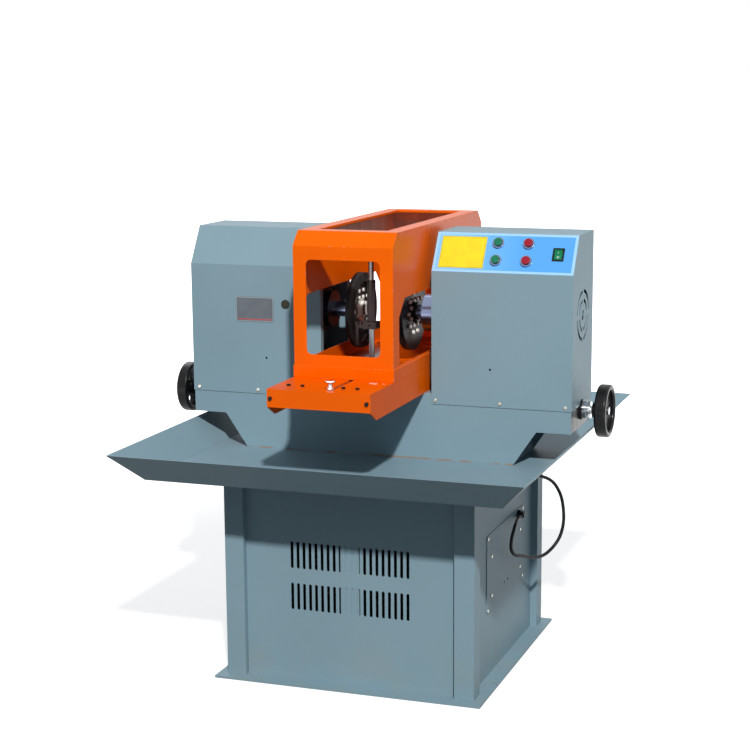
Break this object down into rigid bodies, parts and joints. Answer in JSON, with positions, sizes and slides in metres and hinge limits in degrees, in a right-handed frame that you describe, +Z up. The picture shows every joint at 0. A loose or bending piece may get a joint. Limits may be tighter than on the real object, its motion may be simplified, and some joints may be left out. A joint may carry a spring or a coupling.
{
  "type": "double disc surface grinder",
  "caption": "Floor-standing grinder with opposed grinding discs in an orange open hood over a flared chip tray, a sheet cabinet base, handwheels and a push-button panel.",
  "frame": {"origin": "on the floor, at the middle of the machine's outline", "axes": "+X to the operator's right along the spindles, +Y to the back, +Z up"},
  "size_m": [1.196, 1.2, 1.17],
  "materials": {
    "blue_grey_paint": "semi-gloss machine paint",
    "orange_paint": "gloss powder coat",
    "black_paint": "gloss black enamel",
    "dark_iron": "machined and oiled",
    "ground_steel": "ground",
    "chrome": "polished",
    "zinc": "zinc plated",
    "bronze": "machined bronze",
    "bonded_grit": "coarse resin-bonded abrasive",
    "black_rubber": "cable sheath",
    "black_plastic": "moulded",
    "beige_sheet": "dull beige paint",
    "blue_foil": "panel foil without print, with a blank yellow notice field",
    "dark_plate": "blank etched plate",
    "green_plastic": "moulded",
    "red_plastic": "moulded"
  },
  "bodies": {
    "frame": {"base_flange": "blue_grey_paint", "cabinet_frame": "blue_grey_paint", "front_rear_panels": "blue_grey_paint", "side_panels": "blue_grey_paint", "access_cover": "blue_grey_paint", "panel_screws": "zinc", "cable_glands": "black_plastic", "motor_cable": "black_rubber", "contactor_panel": "zinc", "chip_tray": "blue_grey_paint", "bed_frame": "blue_grey_paint", "slide_ways": "ground_steel", "tray_rim": "blue_grey_paint", "bed_sides": "blue_grey_paint", "screw_brackets": "black_paint", "cover_left": "blue_grey_paint", "cover_right": "blue_grey_paint", "blank_nameplate": "dark_plate", "sight_plug": "black_plastic", "control_panel": "blue_foil", "button_bezels": "chrome", "rocker_bezel": "black_plastic", "hood_shell": "orange_paint", "hood_liner": "beige_sheet", "feed_table": "orange_paint", "table_screws": "black_paint", "table_rails": "ground_steel"},
    "head_left": {"saddle_left": "dark_iron", "feed_nut_left": "bronze", "headstock_left": "dark_iron", "motor_left": "blue_grey_paint", "bearings_left": "ground_steel"},
    "spindle_left": {"spindle_left": "chrome", "backing_disc_left": "black_paint", "abrasive_ring_left": "bonded_grit", "disc_screws_left": "zinc"},
    "handwheel_left": {"feed_screw_left": "ground_steel", "handwheel_left": "black_paint", "dial_left": "chrome"},
    "head_right": {"saddle_right": "dark_iron", "feed_nut_right": "bronze", "headstock_right": "dark_iron", "motor_right": "blue_grey_paint", "bearings_right": "ground_steel"},
    "spindle_right": {"spindle_right": "chrome", "backing_disc_right": "black_paint", "abrasive_ring_right": "bonded_grit", "disc_screws_right": "zinc"},
    "handwheel_right": {"feed_screw_right": "ground_steel", "handwheel_right": "black_paint", "dial_right": "chrome"},
    "feed_slide": {"feed_bar": "ground_steel", "rest_post": "chrome"},
    "clamp_knob": {"clamp_knob": "chrome"},
    "work_rest": {"work_arm": "ground_steel"},
    "start_button_upper": {"start_button_upper": "green_plastic"},
    "start_button_lower": {"start_button_lower": "green_plastic"},
    "stop_button_upper": {"stop_button_upper": "red_plastic"},
    "stop_button_lower": {"stop_button_lower": "red_plastic"},
    "rocker_switch": {"rocker_switch": "green_plastic"}
  },
  "joints": [
    {"name": "head_left_slide", "type": "slide", "parent": "frame", "child": "head_left", "axis": [-1, 0, 0], "range_m": [-0.034, 0.014]},
    {"name": "spindle_left_turn", "type": "hinge", "parent": "head_left", "child": "spindle_left", "pos_m": [-0.2, 0, 0.932], "axis": [-1, 0, 0], "continuous": true},
    {"name": "handwheel_left_turn", "type": "hinge", "parent": "frame", "child": "handwheel_left", "pos_m": [-0.58, 0, 0.698], "axis": [-1, 0, 0], "range_deg": [-2448, 1008]},
    {"name": "head_right_slide", "type": "slide", "parent": "frame", "child": "head_right", "axis": [1, 0, 0], "range_m": [-0.034, 0.014]},
    {"name": "spindle_right_turn", "type": "hinge", "parent": "head_right", "child": "spindle_right", "pos_m": [0.2, 0, 0.932], "axis": [1, 0, 0], "continuous": true},
    {"name": "handwheel_right_turn", "type": "hinge", "parent": "frame", "child": "handwheel_right", "pos_m": [0.58, 0, 0.698], "axis": [1, 0, 0], "range_deg": [-2448, 1008]},
    {"name": "feed_slide_travel", "type": "slide", "parent": "frame", "child": "feed_slide", "axis": [0, 1, 0], "range_m": [0, 0.08]},
    {"name": "clamp_knob_turn", "type": "hinge", "parent": "feed_slide", "child": "clamp_knob", "pos_m": [0.022, -0.492, 0.815], "axis": [0, 0, 1], "range_deg": [0, 180]},
    {"name": "work_rest_slide", "type": "slide", "parent": "feed_slide", "child": "work_rest", "axis": [0, 0, 1], "range_m": [-0.03, 0.04]},
    {"name": "start_button_upper_press", "type": "slide", "parent": "frame", "child": "start_button_upper", "axis": [0, 0.848, -0.53], "range_m": [0, 0.003], "stiffness_N_per_m": 400, "springref_m": -0.002},
    {"name": "start_button_lower_press", "type": "slide", "parent": "frame", "child": "start_button_lower", "axis": [0, 0.848, -0.53], "range_m": [0, 0.003], "stiffness_N_per_m": 400, "springref_m": -0.002},
    {"name": "stop_button_upper_press", "type": "slide", "parent": "frame", "child": "stop_button_upper", "axis": [0, 0.848, -0.53], "range_m": [0, 0.003], "stiffness_N_per_m": 400, "springref_m": -0.002},
    {"name": "stop_button_lower_press", "type": "slide", "parent": "frame", "child": "stop_button_lower", "axis": [0, 0.848, -0.53], "range_m": [0, 0.003], "stiffness_N_per_m": 400, "springref_m": -0.002},
    {"name": "rocker_switch_tilt", "type": "hinge", "parent": "frame", "child": "rocker_switch", "pos_m": [0.4755, -0.0783, 1.10094], "axis": [-1, 0, 0], "range_deg": [0, 16]}
  ],
  "couplings": [
    {"joint": "head_left_slide", "follows": "handwheel_left_turn", "m_per_rad": 0.00079577},
    {"joint": "head_right_slide", "follows": "handwheel_right_turn", "m_per_rad": 0.00079577}
  ]
}
